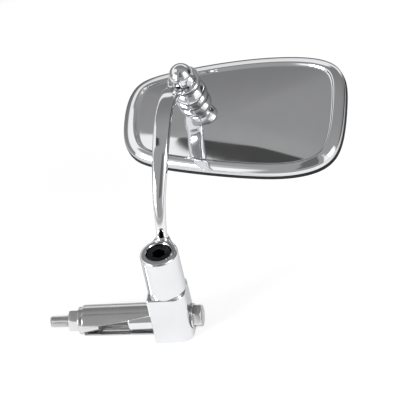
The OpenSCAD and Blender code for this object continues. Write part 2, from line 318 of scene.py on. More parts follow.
def fillet(pts, radii, seg=5):
    """A polyline with rounded corners. radii: one for each point, 0 keeps it sharp."""
    pts = [np.array(p, float) for p in pts]
    out = []
    n = len(pts)
    for i, p in enumerate(pts):
        r = radii[i] if i < len(radii) else 0
        if r <= 0 or i in (0, n - 1):
            out.append(tuple(p))
            continue
        a, b = pts[i - 1] - p, pts[i + 1] - p
        la, lb = np.linalg.norm(a), np.linalg.norm(b)
        a, b = a / la, b / lb
        half = math.acos(max(-1, min(1, float(a @ b)))) / 2
        d = min(r / math.tan(half), la * 0.49, lb * 0.49)
        r2 = d * math.tan(half)
        c = p + (a + b) / np.linalg.norm(a + b) * (r2 / math.sin(half))
        s, e = p + a * d - c, p + b * d - c
        for t in np.linspace(0, 1, seg + 1):
            w = s * (1 - t) + e * t
            out.append(tuple(c + w / np.linalg.norm(w) * r2))
    return out


def closed_lathe(pts, radii, n=96, seg=4):
    """A ring-like body: a closed profile with rounded corners."""
    q = list(pts) + [pts[0], pts[1]]
    rr = list(radii) + [radii[0], 0]
    prof = fillet(q, [0] + rr[1:], seg)[1:-1]
    return lathe(prof, n, close=True)


def hex_radius(a, af, turn=0.0):
    t = (a - math.radians(turn) + math.pi / 6) % (math.pi / 3) - math.pi / 6
    return af / 2 / np.cos(t)


def hex_body(af, h, turn=0.0, chamfer_low=True, chamfer_top=True, top_r=None, low_r=None, seg=16, cf=30.0):
    """Rings of a hexagon with turned chamfers; flat-sided, corners cut by a cone as on a real nut. Vertices at turn + 30 deg."""
    n = 6 * seg
    a = np.linspace(0, 2 * math.pi, n, endpoint=False) + math.radians(turn)
    R = hex_radius(a, af, turn)
    corner_round = 0.985 * af / 2 / math.cos(math.pi / 6)
    R = np.minimum(R, corner_round)
    rc = 0.95 * af / 2
    t = math.tan(math.radians(cf))
    zt = h - np.maximum(0, R - rc) * t if chamfer_top else np.full(n, h)
    zl = np.maximum(0, R - rc) * t if chamfer_low else np.zeros(n)

    def ring(r, z):
        r = np.broadcast_to(r, (n,))
        z = np.broadcast_to(z, (n,))
        return np.stack([r * np.cos(a), r * np.sin(a), z], 1)

    rings = []
    if low_r is not None:
        rings.append(ring(low_r, 0))
    rings += [ring(rc if chamfer_low else R, 0), ring(R, zl), ring(R, zt), ring(rc if chamfer_top else R, h)]
    if top_r is not None:
        rings.append(ring(top_r, h))
    return rings, a


def bevel(o, width, segments=3, angle=30.0):
    m = o.modifiers.new("bevel", "BEVEL")
    m.width = width * MM
    m.segments = segments
    m.limit_method = "ANGLE"
    m.angle_limit = math.radians(angle)
    m.harden_normals = False
    m.use_clamp_overlap = True
    apply_mods(o)


def apply_mods(o):
    bpy.context.view_layer.update()
    dg = bpy.context.evaluated_depsgraph_get()
    me = bpy.data.meshes.new_from_object(o.evaluated_get(dg), depsgraph=dg)
    old = o.data
    o.modifiers.clear()
    o.data = me
    bpy.data.meshes.remove(old)


def boolean(o, cutters, op="DIFFERENCE"):
    for c in cutters:
        m = o.modifiers.new("b", "BOOLEAN")
        m.operation = op
        m.solver = "EXACT"
        m.object = c
        apply_mods(o)
        bpy.data.objects.remove(c, do_unlink=True)
    bm = bmesh.new()
    bm.from_mesh(o.data)
    bmesh.ops.remove_doubles(bm, verts=bm.verts, dist=1e-6)
    bmesh.ops.dissolve_degenerate(bm, dist=1e-7, edges=bm.edges)
    bm.to_mesh(o.data)
    bm.free()


def place(o, body, replaced, slot, look=None):
    me = o.data
    co = np.empty(len(me.vertices) * 3)
    me.vertices.foreach_get("co", co)
    me.vertices.foreach_set("co", np.clip(co.reshape(-1, 3), cad_box[0], cad_box[1]).ravel())
    me.materials.clear()
    me.materials.append(MAT[look or slot])
    for p in me.polygons:
        p.material_index = 0
    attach(o, body)
    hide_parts(replaced)
    return o


# ---------------------------------------------------------------- head outline
def bspline(P, n):
    out = []
    m = len(P)
    for i in range(m):
        a, b, c, d = P[(i - 1) % m], P[i], P[(i + 1) % m], P[(i + 2) % m]
        for t in np.arange(n) / n:
            out.append(((1 - t) ** 3 * a + (3 * t ** 3 - 6 * t * t + 4) * b + (-3 * t ** 3 + 3 * t * t + 3 * t + 1) * c
                        + t ** 3 * d) / 6)
    return np.array(out)


RIM = bspline(OUTLINE, 12)
_d = np.roll(RIM, -1, 0) - np.roll(RIM, 1, 0)
INW = np.stack([_d[:, 1], -_d[:, 0]], 1) / np.linalg.norm(_d, axis=1)[:, None]


RIM_W = 1 + 0.3 * np.maximum(0, INW[:, :1]) ** 2 - 0.22 * np.maximum(0, INW[:, 1:]) ** 2


def rim_ring(d, z, wide=False):
    p = RIM + d * INW * (RIM_W if wide else 1.0)
    z = np.broadcast_to(z, (len(p),))
    return np.column_stack([p, z])


def smooth_curve(pts, n):
    """Cardinal spline through 2D points."""
    P = np.array([pts[0]] + list(pts) + [pts[-1]], float)
    out = []
    for i in range(len(pts) - 1):
        a, b, c, d = P[i], P[i + 1], P[i + 2], P[i + 3]
        for t in np.arange(n) / n:
            out.append(0.5 * (2 * b + (c - a) * t + (2 * a - 5 * b + 4 * c - d) * t * t
                              + (3 * b - a - 3 * c + d) * t ** 3))
    out.append(P[-2])
    return np.array(out)


def panel_rings(z0, ss):
    base = RIM + 6.2 * INW * RIM_W
    return [np.column_stack([HEAD_C + (base - HEAD_C) * s, np.full(len(RIM), z0 + CROWN * (1 - s * s))]) for s in ss]


def build_shell():
    z, b, t = PANEL_Z, BEAD, SHEET
    bead_pts = [(0, -2.1), (0.1, -1.75), (0.42, -1.32), (0.95, -0.84), (1.6, -0.4), (2.5, 0.08), (3.5, 0.6), (4.25, 0.94),
                (4.75, 1.04), (5.25, 0.8), (5.7, 0.28), (6.2, 0.0)]
    bead = smooth_curve([(d, z + h * b) for d, h in bead_pts], 4)
    outer = [rim_ring(0.25, WALL_Z), rim_ring(0.05, WALL_Z + 0.12), rim_ring(0, WALL_Z + 0.35)]
    outer += [rim_ring(0, q) for q in np.linspace(WALL_Z + 0.5, z - 3.45, 2)]
    # the narrow end has a rounder shoulder
    left = np.maximum(0, INW[:, 0]) ** 2
    outer += [rim_ring(d, h - 1.3 * left * max(0.0, 1 - d / 3.0) ** 1.5, True) for d, h in bead]
    outer += panel_rings(z, [0.985, 0.95, 0.9, 0.82, 0.74, 0.66, 0.57, 0.48, 0.39, 0.3, 0.21, 0.13, 0.06])
    inner = panel_rings(z - t, [0.06, 0.2, 0.35, 0.5, 0.65, 0.8, 0.92, 1.0])
    inner += [rim_ring(d, h, True) for d, h in ((5.7, z - t + 0.02), (5.2, z + 0.25 - t), (4.8, z + 0.8 - t), (4.2, z + 0.8 - t),
                                               (3.2, z + 0.5 - t), (2.2, z + 0.15 - t), (1.5, z - 0.45 - t))]
    inner += [rim_ring(d, h) for d, h in ((1.0, z - 0.9 - t),)]
    inner += [rim_ring(0.8, q) for q in np.linspace(z - 2.3, WALL_Z + 0.2, 2)] + [rim_ring(0.65, WALL_Z)]
    m1, m2, n = len(outer), len(inner), len(RIM)
    v = np.concatenate(outer + inner)
    f = []
    for k in range(m1 - 1):
        for i in range(n):
            j = (i + 1) % n
            f.append((k * n + i, k * n + j, (k + 1) * n + j, (k + 1) * n + i))
    for k in range(m1, m1 + m2 - 1):
        for i in range(n):
            j = (i + 1) % n
            f.append((k * n + i, k * n + j, (k + 1) * n + j, (k + 1) * n + i))
    last = (m1 + m2 - 1) * n
    for i in range(n):
        j = (i + 1) % n
        f.append((last + i, last + j, j, i))
    co, ci = len(v), len(v) + 1
    v = np.concatenate([v, [[*HEAD_C, PANEL_Z + CROWN]], [[*HEAD_C, PANEL_Z - t + CROWN]]])
    a, b2 = (m1 - 1) * n, m1 * n
    for i in range(n):
        j = (i + 1) % n
        f.append((a + i, a + j, co))
        f.append((b2 + j, b2 + i, ci))
    o = obj_from("shell_pressing", to_head(v), f, angle=50)
    # the hole that the dome's neck passes through
    cv, cf = skin_lathe([(7.95, -9.0), (7.95, -0.5)], 96)
    c = obj_from("cut", to_head(cv), cf)
    boolean(o, [c])
    shade(o, 50)
    return place(o, "head", "back_shell", "chrome", "chrome_head_painted_rim_shade")


def skin_lathe(profile, n=96):
    a = np.linspace(0, 2 * math.pi, n, endpoint=False)
    rings = [np.stack([r * np.cos(a), r * np.sin(a), np.full(n, z)], 1) for r, z in profile]
    return skin(rings)


def build_seal():
    z0, z1 = WALL_Z, GLASS_Z
    prof = fillet([(0.3, z0), (-0.18, z0), (-0.18, z1 - 0.3), (2.5, z1 - 0.3), (2.5, z1), (1.4, z1), (1.4, z0), (0.3, z0)],
                  [0, 0.15, 0.45, 0.12, 0.0, 0.0, 0.0, 0], 5)[:-1]
    rings = [rim_ring(d, z) for d, z in prof]
    v = np.concatenate(rings)
    o = obj_from("rubber_edge", to_head(v), grid_faces(len(rings), len(RIM), True, True), angle=50)
    return place(o, "head", "edge_seal", "black_rubber")


def build_glass():
    z1, z0 = GLASS_Z + 2.0, GLASS_Z
    prof = [(1.75, z1), (1.52, z1 - 0.06), (1.42, z1 - 0.3), (1.42, z0 + 0.3), (1.52, z0 + 0.06), (1.75, z0)]
    rings = [rim_ring(4.5, z1)] + [rim_ring(d, z) for d, z in prof] + [rim_ring(4.5, z0)]
    v, f = skin(rings)
    o = obj_from("glass_plate", to_head(v), f, angle=40)
    return place(o, "head", "mirror_glass", "silvered_glass")


def build_dome():
    R, Ri = 8.4, 7.2
    th0 = math.asin(4.75 / R)
    th1 = math.acos(-3.1 / R)
    prof = [(R * math.sin(t), R * math.cos(t)) for t in np.linspace(th0 + 0.02, th1, 48)]
    prof += [(7.8, -3.4), (7.8, -5.0), (7.8, -6.65), (10.8, -6.65), (11, -6.8), (11, -7.35), (10.8, -7.5), (6.5, -7.5),
             (6.4, -7.4), (6.4, -3.3)]
    thi = math.acos(-3.2 / Ri)
    prof += [(Ri * math.sin(t), Ri * math.cos(t)) for t in np.linspace(thi, math.asin(4.75 / Ri), 24)]
    prof += [(4.75, math.sqrt(R * R - 4.75 ** 2) - 0.15)]
    v, f = lathe(prof, 128, close=True)
    o = obj_from("ball_dome", to_head(v), f, angle=40)
    return place(o, "head", "swivel_dome", "chrome")


# ---------------------------------------------------------------- arm: one casting with soft blends
def smin(a, b, k):
    h = np.clip(0.5 + 0.5 * (b - a) / k, 0, 1)
    return b * (1 - h) + a * h - k * h * (1 - h)


def smax(a, b, k):
    return -smin(-a, -b, k)


def cardinal(P, n):
    Q = np.concatenate([P[:1], P, P[-1:]])
    out = []
    for i in range(len(P) - 1):
        a, b, c, d = Q[i], Q[i + 1], Q[i + 2], Q[i + 3]
        for t in np.arange(n) / n:
            out.append(0.5 * (2 * b + (c - a) * t + (2 * a - 5 * b + 4 * c - d) * t * t + (3 * b - a - 3 * c + d) * t ** 3))
    out.append(P[-1])
    return np.array(out)


LINE = cardinal(ARM, 24)
for _ in range(60):
    LINE[1:-1] = 0.5 * LINE[1:-1] + 0.25 * (LINE[2:] + LINE[:-2])
CEN = LINE[:, :3]
TAN = np.gradient(CEN, axis=0)
TAN /= np.linalg.norm(TAN, axis=1)[:, None]
XAX = np.array([1.0, 0, 0]) - TAN[:, :1] * TAN
XAX /= np.linalg.norm(XAX, axis=1)[:, None]
NAX = np.cross(XAX, TAN)
STEP = np.linalg.norm(np.gradient(CEN, axis=0), axis=1)


def arm_field(p):
    best = np.full(len(p), np.inf)
    idx = np.zeros(len(p), int)
    for s in range(0, len(p), 20000):
        q = p[s:s + 20000]
        d = (q * q).sum(1)[:, None] - 2 * q @ CEN.T + (CEN * CEN).sum(1)[None]
        idx[s:s + 20000] = d.argmin(1)
        best[s:s + 20000] = d.min(1)
    t = ((p - CEN[idx]) * TAN[idx]).sum(1) / STEP[idx]
    over = np.where(((idx == 0) & (t < 0)) | ((idx == len(CEN) - 1) & (t > 0)), np.abs(t) * STEP[idx], 0)
    t = np.clip(t, -0.5, 0.5)
    i2 = np.clip(idx + np.sign(t).astype(int), 0, len(CEN) - 1)
    w = np.abs(t)[:, None]

    def mix(A):
        return A[idx] * (1 - w) + A[i2] * w

    c = mix(CEN)
    X, N = mix(XAX), mix(NAX)
    prm = mix(LINE[:, 3:])
    a, b, k = prm[:, 0] / 2, prm[:, 1] / 2, prm[:, 2]
    s = np.abs(((p - c) * X).sum(1)) / a + 1e-6
    u = np.abs(((p - c) * N).sum(1)) / b + 1e-6
    g = (s ** k + u ** k) ** (1 / k)
    gs = (s / g) ** (k - 1) / a
    gu = (u / g) ** (k - 1) / b
    d = (g - 1) / np.sqrt(gs * gs + gu * gu)
    return np.where(over > 0, np.sqrt(np.maximum(d, 0) ** 2 + over ** 2) + np.minimum(d, 0) * 0, d)


def round_cyl(rho, z, r, z0, z1, rr_top, rr_low):
    zc = (z0 + z1) / 2
    rr = np.where(z > zc, rr_top, rr_low)
    qx = rho - (r - rr)
    qy = np.abs(z - zc) - ((z1 - z0) / 2 - rr)
    return np.sqrt(np.maximum(qx, 0) ** 2 + np.maximum(qy, 0) ** 2) + np.minimum(np.maximum(qx, qy), 0) - rr


def capsule2(px, py, r0, r1, L):
    """Two circles on +y, radius r0 at 0 and r1 at L, joined by their tangents."""
    px = np.abs(px)
    b = (r0 - r1) / L
    a = math.sqrt(1 - b * b)
    k = -b * px + a * py
    k = px * -b + py * a
    d0 = np.sqrt(px * px + py * py) - r0
    d1 = np.sqrt(px * px + (py - L) ** 2) - r1
    d2 = px * a + py * b - r0
    return np.where(k < 0, d0, np.where(k > a * L, d1, d2))


def field(p):
    x, y, z = p[:, 0] - HUB_X, p[:, 1], p[:, 2]
    hub = round_cyl(np.hypot(x, y), z, HUB_R, 19.05, HUB_TOP, 1.3, 0.35)
    nk = capsule2(x - 0.045 * y, y, 9.15, 2.55, 11.0)
    low = (30 + 1.512 * (y - 9.2) - z) / 1.81
    nk = smax(smax(nk, low, 0.8), z - (HUB_TOP - 0.3), 1.2)
    arm = arm_field(p)
    q = (p - BALL) @ HM
    rho = np.hypot(q[:, 0], q[:, 1])
    boss = round_cyl(rho, q[:, 2], BOSS_R, BOSS_LOW, BOSS_TOP, 0.75, 0.3)
    bowl = np.hypot(rho, q[:, 2] - 13.2) - 8.55
    cone = (rho - 5.75 - (q[:, 2] - 6.6) * 0.62) / math.hypot(1, 0.62)
    boss = smax(boss, np.minimum(np.maximum(cone, -9), np.maximum(bowl, cone)), 1.2)
    f = smin(hub, nk, 0.6)
    f = smin(f, arm, np.where(z < 60, 3.2, 1.5))
    f = smin(f, boss, 1.6)
    return f


def surface_nets(fn, lo, hi, h, band):
    """Quads over the zero surface of fn, each vertex then moved onto it."""
    coarse = 4
    n = np.ceil((hi - lo) / (h * coarse)).astype(int) * coarse + 1
    nc = (n - 1) // coarse + 1
    gc = np.stack(np.meshgrid(*[lo[i] + np.arange(nc[i]) * h * coarse for i in range(3)], indexing="ij"), -1).reshape(-1, 3)
    fc = fn(gc).reshape(nc)
    F = np.repeat(np.repeat(np.repeat(fc, coarse, 0), coarse, 1), coarse, 2)[:n[0], :n[1], :n[2]].copy()
    near = np.abs(fc) < band
    for ax in range(3):
        near |= np.roll(near, 1, ax) | np.roll(near, -1, ax)
    N = np.repeat(np.repeat(np.repeat(near, coarse, 0), coarse, 1), coarse, 2)
    N = np.roll(N, (-coarse // 2,) * 3, (0, 1, 2))[:n[0], :n[1], :n[2]]
    ii = np.argwhere(N)
    F[N] = fn(lo + ii * h)
    inside = F < 0
    nx, ny, nz = n
    vid = -np.ones((nx - 1, ny - 1, nz - 1), int)
    acc = np.zeros((nx - 1, ny - 1, nz - 1, 3))
    cnt = np.zeros((nx - 1, ny - 1, nz - 1))
    corner = [(a, b, c) for a in (0, 1) for b in (0, 1) for c in (0, 1)]
    sl = {c: tuple(slice(c[i], (nx, ny, nz)[i] - 1 + c[i]) for i in range(3)) for c in corner}
    for ax in range(3):
        for c in corner:
            if c[ax]:
                continue
            d = list(c)
            d[ax] = 1
            d = tuple(d)
            A, B = F[sl[c]], F[sl[d]]
            m = (A < 0) != (B < 0)
            t = np.where(m, A / np.where(m, A - B, 1), 0)
            for k in range(3):
                acc[..., k] += np.where(m, c[k] + (t if k == ax else 0), 0)
            cnt += m
    has = cnt > 0
    vid[has] = np.arange(has.sum())
    cells = np.argwhere(has)
    v = lo + (cells + acc[has] / cnt[has][:, None]) * h
    faces = []
    for ax in range(3):
        A = np.take(inside, range(n[ax] - 1), ax)
        B = np.take(inside, range(1, n[ax]), ax)
        u, w = [(1, 2), (2, 0), (0, 1)][ax]
        e = np.argwhere(A != B)
        e = e[(e[:, u] > 0) & (e[:, w] > 0) & (e[:, u] < n[u] - 1) & (e[:, w] < n[w] - 1)]

        def get(du, dw):
            q = e.copy()
            q[:, u] -= du
            q[:, w] -= dw
            return vid[q[:, 0], q[:, 1], q[:, 2]]

        quad = np.stack([get(1, 1), get(0, 1), get(0, 0), get(1, 0)], 1)
        flip = ~A[e[:, 0], e[:, 1], e[:, 2]]
        quad[flip] = quad[flip][:, ::-1]
        faces.append(quad)
    faces = np.concatenate(faces)
    eps = 0.02
    for _ in range(4):
        f0 = fn(v)
        g = np.stack([fn(v + eps * np.eye(3)[i]) - fn(v - eps * np.eye(3)[i]) for i in range(3)], 1) / (2 * eps)
        gg = (g * g).sum(1)
        stepv = (f0 / np.maximum(gg, 0.2))[:, None] * g
        v = v - np.clip(stepv, -0.3, 0.3)
    return v, faces


def build_arm():
    h = 0.5
    v, f = surface_nets(field, np.array([-2.0, -11.0, 17.0]), np.array([32.0, 89.0, 95.0]), h, 2.6)
    o = obj_from("arm_casting", v, f, angle=60)
    cuts = []
    prof = fillet([(0, 17.5), (8.8, 17.5), (8.8, 19.72), (4.05, 19.72), (4.05, 32.6), (6.3, 32.6), (6.3, 42.0), (6.62, 42.4),
                   (6.62, 45), (0, 45)], [0] * 10, 3)
    cv, cf = lathe(prof, 128)
    cuts.append(obj_from("cut1", along_z(cv), cf))
    R = 8.45
    prof = [(0, -R)] + [(R * math.cos(t), R * math.sin(t)) for t in np.linspace(-math.pi / 2 + 0.05, math.acos(3.05 / R), 48)]
    prof += [(3.05, 13.64), (6.4, 13.64), (6.4, 30), (0, 30)]
    cv, cf = lathe(prof, 128)
    cuts.append(obj_from("cut2", to_head(cv), cf))
    boolean(o, cuts)
    shade(o, 38)
    return place(o, "arm", "mirror_arm", "chrome")


# ---------------------------------------------------------------- block
def build_block():
    bm = bmesh.new()
    w, u, d = BLOCK_W, BLOCK_UP, BLOCK_DOWN
    bmesh.ops.create_cube(bm, size=1.0)
    for v in bm.verts:
        v.co = Vector(((v.co.x * w + w / 2) * MM, v.co.y * w * MM, (v.co.z * (u + d) + (u - d) / 2) * MM))
    up = [e for e in bm.edges if abs((e.verts[0].co - e.verts[1].co).normalized().z) > 0.9]
    back = [e for e in up if e.verts[0].co.y > 0 or e.verts[0].co.x > w / 2 * MM]
    bmesh.ops.bevel(bm, geom=back, offset=6.0 * MM, segments=20, profile=0.5, affect="EDGES", clamp_overlap=True)
    up = [e for e in bm.edges if abs((e.verts[0].co - e.verts[1].co).normalized().z) > 0.9 and e.verts[0].co.y < -9 * MM
          and e.verts[0].co.x < 1 * MM]
    bmesh.ops.bevel(bm, geom=up, offset=1.25 * MM, segments=8, profile=0.5, affect="EDGES", clamp_overlap=True)
    flat = [e for e in bm.edges if len(e.link_faces) == 2 and e.calc_face_angle() > 1.2]
    bmesh.ops.bevel(bm, geom=flat, offset=0.75 * MM, segments=6, profile=0.5, affect="EDGES", clamp_overlap=True)
    me = bpy.data.meshes.new("block_casting")
    bm.to_mesh(me)
    bm.free()
    o = bpy.data.objects.new("block_casting", me)
    bpy.context.scene.collection.objects.link(o)
    prof = fillet([(0, -12.8), (6.15, -12.8), (6.15, 1.0), (0, 1.0)], [0, 1.2, 0, 0], 6)
    v, f = lathe(prof, 96)
    s = obj_from("spigot", along_x(v), f)
    boolean(o, [s], "UNION")
    v, f = lathe([(0, -14), (3.6, -14), (3.25, -12.45), (3.25, 18.5), (3.6, 19.2), (0, 19.2)], 64)
    c1 = obj_from("c1", along_x(v), f)
    v, f = lathe([(0, 7.6), (4.02, 7.6), (4.02, 18.6), (4.4, 19.4), (0, 19.4)], 64)
    c2 = obj_from("c2", along_z(v), f)
    boolean(o, [c1, c2])
    shade(o, 30)
    wn = o.modifiers.new("wn", "WEIGHTED_NORMAL")
    wn.keep_sharp = True
    wn.weight = 100
    apply_mods(o)
    return place(o, "block", "bar_block", "chrome")


# ---------------------------------------------------------------- fasteners
def build_screw():
    seg = 16
    n = 6 * seg
    turn = 12
    a = np.linspace(0, 2 * math.pi, n, endpoint=False) + math.radians(turn)
    top, base, tip = 41.8, 33.8, 8.8

    def ring(r, z):
        r = np.broadcast_to(r, (n,))
        return np.stack([r * np.cos(a) + HUB_X, r * np.sin(a), np.full(n, z)], 1)

    R = np.minimum(hex_radius(a, 6, turn), 0.99 * 3 / math.cos(math.pi / 6))
    side = fillet([(0, tip), (3.4, tip), (4.0, tip + 0.7), (4.0, base), (6.0, base), (6.0, top), (3.7, top)],
                  [0, 0.1, 0.2, 0.3, 0.25, 0.75, 0], 6)
    rings = [ring(max(r, 0.001), z) for r, z in side]
    rings += [ring(3.62, top), ring(R, top - 0.3), ring(R, top - 4.5), ring(0.6 * R, top - 4.6), ring(0.02, top - 5.2)]
    v, f = skin(rings)
    o = obj_from("socket_screw", v, f, angle=30)
    return place(o, "block", "arm_screw", "black_steel")


def thread_tube(r, pitch, x0, x1, depth=0.55, n=48, per=10, taper=1.4):
    """A screw thread as one helical surface along X, fading out at the left end."""
    a = np.linspace(0, 2 * math.pi, n, endpoint=False)
    xs = np.arange(x0, x1 + 1e-6, pitch / per)
    rings = []
    for x in xs:
        ph = ((x / pitch - a / (2 * math.pi)) % 1.0)
        tri = np.abs(ph - 0.5) * 2
        prof = np.clip((tri - 0.12) / 0.76, 0, 1)
        fade = min(1.0, max(0.0, (x1 - x) / 0.8))
        rr = r - depth * prof * fade
        lead = (x - x0)
        rr = np.minimum(rr, r - max(0.0, 0.62 - lead * 0.8))
        rings.append(np.stack([np.full(n, x), rr * np.cos(a), rr * np.sin(a)], 1))
    return rings


def build_bolt():
    head, a = hex_body(10, 3.95, 10, chamfer_low=False, seg=16, cf=28)
    n = len(a)
    x0 = BLOCK_W + 1
    thread = thread_tube(2.98, 1.2, BOLT_END, -8.0, depth=0.62, n=n)
    sh = int(round(0))
    rings = [np.roll(r, sh, 0) for r in thread]
    an = np.linspace(0, 2 * math.pi, n, endpoint=False)
    rings += [np.stack([np.full(n, x), 3.0 * np.cos(an), 3.0 * np.sin(an)], 1) for x in (-7.9, x0 - 0.25)]
    rings += [np.stack([np.full(n, x0), 3.2 * np.cos(an), 3.2 * np.sin(an)], 1)]
    v1, f1 = skin(rings)
    shank = obj_from("hex_bolt", v1, f1, angle=40)
    hd = [np.stack([np.full(n, 0.0)] * 3, 1) + h for h in head]
    low = [np.stack([4.6 * np.cos(a), 4.6 * np.sin(a), np.zeros(n)], 1)]
    top = head[-1].copy()
    dish = np.stack([4.3 * np.cos(a), 4.3 * np.sin(a), np.full(n, 3.95)], 1)
    dish2 = np.stack([4.0 * np.cos(a), 4.0 * np.sin(a), np.full(n, 3.8)], 1)
    v2, f2 = skin(low + hd + [dish, dish2])
    h = obj_from("hd", along_x(v2, x0), f2, angle=30)
    bevel(h, 0.12, 2, 35)
    boolean(shank, [h], "UNION")
    shade(shank, 35)
    return place(shank, "through_bolt", "expander_bolt", "zinc_steel")


def nut_mesh(af, h, bore, turn):
    """A hex nut with turned chamfers and a threaded bore's countersinks, standing on z=0."""
    rings, a = hex_body(af, h, turn, seg=16)
    n = len(a)

    def ring(r, z):
        return np.stack([r * np.cos(a), r * np.sin(a), np.full(n, z)], 1)

    rings = [ring(bore, 0.45), ring(bore + 0.4, 0)] + rings + [ring(bore + 0.4, h), ring(bore, h - 0.45)]
    v = np.concatenate(rings)
    return v, grid_faces(len(rings), n, True, True)


def build_nut():
    v, f = nut_mesh(10, 5.0, 3.05, 17)
    o = obj_from("hex_nut", along_x(v, NUT_X), f, angle=30)
    bevel(o, 0.1, 2, 40)
    shade(o, 30)
    return place(o, "cone_and_nut", "expander_nut", "zinc_steel")


def build_acorn():
    rings, a = hex_body(11.7, 3.2, 15, seg=16)
    n = len(a)
    # the corners are turned off, so the cap is nearly round
    for q in rings:
        q[:, :2] *= np.minimum(1, 6.1 / np.hypot(q[:, 0], q[:, 1]))[:, None]

    def ring(r, z):
        return np.stack([r * np.cos(a), r * np.sin(a), np.full(n, z)], 1)

    R, zc = 5.85, 2.85
    rings = rings[:-1]
    t0 = 0.10
    dome = [ring(R * math.cos(t), zc + R * math.sin(t)) for t in np.linspace(t0, math.pi / 2 - 0.02, 26)]
    # the hex runs up into the dome: its top ring is cut by the dome's foot
    hexr = rings[-1]
    rad = np.hypot(hexr[:, 0], hexr[:, 1])
    top = np.stack([hexr[:, 0], hexr[:, 1], 2.75 + (6.1 - rad) * 0.8], 1)
    rings[-1] = top
    v = [ring(3.03, 6.3), ring(3.03, 0.45), ring(3.45, 0)] + rings + dome
    vv, ff = skin(v)
    o = obj_from("domed_nut", to_head(vv + np.array([0, 0, NUT_BASE])), ff, angle=30)
    return place(o, "swivel", "acorn_nut", "chrome")


def split_ring(r0, r1, h, gap_deg, at_deg, lift, rise=0.25, n=72):
    """A split washer: a rounded square section carried round, its ends at slightly different heights."""
    a = np.linspace(math.radians(at_deg + gap_deg / 2), math.radians(at_deg + 360 - gap_deg / 2), n)
    sec = fillet([(r0, h / 2), (r0, 0), (r1, 0), (r1, h), (r0, h), (r0, h / 2)], [0, 0.15, 0.15, 0.15, 0.15, 0], 3)[:-1]
    rings = []
    for t in a:
        w = (t - a[0]) / (a[-1] - a[0]) - 0.5
        rings.append(np.array([[r * math.cos(t), r * math.sin(t), lift + z * (1 - rise) + (w + 0.5) * rise * h] for r, z in sec]))
    return skin(rings)


def build_lock_washer():
    v, f = split_ring(3.1, 5.6, 1.1, 8, -60, BOSS_TOP + 0.1, rise=0.06)
    o = obj_from("split_washer_small", to_head(v), f, angle=40)
    return place(o, "swivel", "lock_washer", "zinc_steel")


def build_spring_washer():
    v, f = split_ring(4.15, 6.0, 1.2, 7, 200, 32.6, rise=0.06)
    o = obj_from("split_washer_large", along_z(v), f, angle=40)
    return place(o, "block", "screw_spring_washer", "black_steel")


def build_bolt_washer():
    v, f = closed_lathe([(3.25, 0), (6.2, 0), (6.2, 1), (3.25, 1)], [0.1, 0.25, 0.25, 0.1])
    o = obj_from("flat_washer", along_x(v, BLOCK_W), f, angle=40)
    return place(o, "block", "bolt_washer", "zinc_steel")


def build_pivot_washer():
    v, f = closed_lathe([(4.15, 0), (8.6, 0), (8.6, 0.8), (4.15, 0.8)], [0.1, 0.15, 0.15, 0.1])
    o = obj_from("thin_washer", along_z(v, z0=BLOCK_UP), f, angle=40)
    return place(o, "block", "pivot_washer", "washer_plastic")


def build_cone():
    r1 = CONE_RIM - 8.9 * TA
    v, f = closed_lathe([(3.1, 0), (CONE_RIM, 0), (CONE_RIM, 0.9), (r1, 9.8), (3.1, 9.8)], [0.2, 0.22, 0.15, 0.3, 0.2])
    o = obj_from("taper_plug", along_x(v, CONE_X), f, angle=30)
    return place(o, "cone_and_nut", "expander_cone", "zinc_steel")


def sleeve_rings(limits, sign):
    """Half sleeve: outer and inner walls between two cut angles that may change along its length."""
    e = CONE_RIM - (SLEEVE_X - CONE_X - 0.9) * TA + 0.32
    taper = (e - SLEEVE_IN) / TA
    nx, nt = 70, 40
    xs = np.concatenate([[0, 0.1, 0.25], np.linspace(0.5, SLEEVE_LEN - 0.5, nx), [SLEEVE_LEN - 0.25, SLEEVE_LEN - 0.1, SLEEVE_LEN]])
    rings = []
    for x in xs:
        end = min(x, SLEEVE_LEN - x)
        c = 0.25 - math.sqrt(max(0, 0.0625 - max(0.0, 0.25 - end) ** 2)) if end < 0.25 else 0.0
        ro = SLEEVE_R - c
        ri = max(SLEEVE_IN, e - x * TA)
        zc = limits(x)
        t0, t1 = math.asin(min(0.999, zc / ro)), math.asin(min(0.999, zc / ri))
        b = 0.03
        to = np.linspace(t0 + b, math.pi - t0 - b, nt)
        ti = np.linspace(math.pi - t1 - b * 0.6, t1 + b * 0.6, nt)
        pts = [(ro * math.cos(t), ro * math.sin(t)) for t in to]
        pts.append(((ro - 0.2) * math.cos(math.pi - t0), zc))
        pts.append(((ri + 0.12) * math.cos(math.pi - t1), zc))
        pts += [(ri * math.cos(t), ri * math.sin(t)) for t in ti]
        pts.append(((ri + 0.12) * math.cos(t1), zc))
        pts.append(((ro - 0.2) * math.cos(t0), zc))
        rings.append(np.array([[SLEEVE_X + x, y, sign * z] for y, z in pts]))
    return skin_flat(rings)


def skin_flat(rings):
    """Like skin, with each end closed by pairing the outer wall's points with the inner wall's."""
    m, n = len(rings), len(rings[0])
    v = np.concatenate(rings)
    f = grid_faces(m, n)
    half = (n - 4) // 2
    for base, rev in ((0, True), ((m - 1) * n, False)):
        seq_o = list(range(0, half))
        seq_i = list(range(n - 3, half + 1, -1))
        q = []
        o_idx = [n - 1] + seq_o + [half]
        i_idx = [n - 2] + seq_i + [half + 1]
        for k in range(len(o_idx) - 1):
            quad = (o_idx[k], o_idx[k + 1], i_idx[k + 1], i_idx[k])
            q.append(tuple(base + i for i in (quad[::-1] if rev else quad)))
        f += q
    return v, f


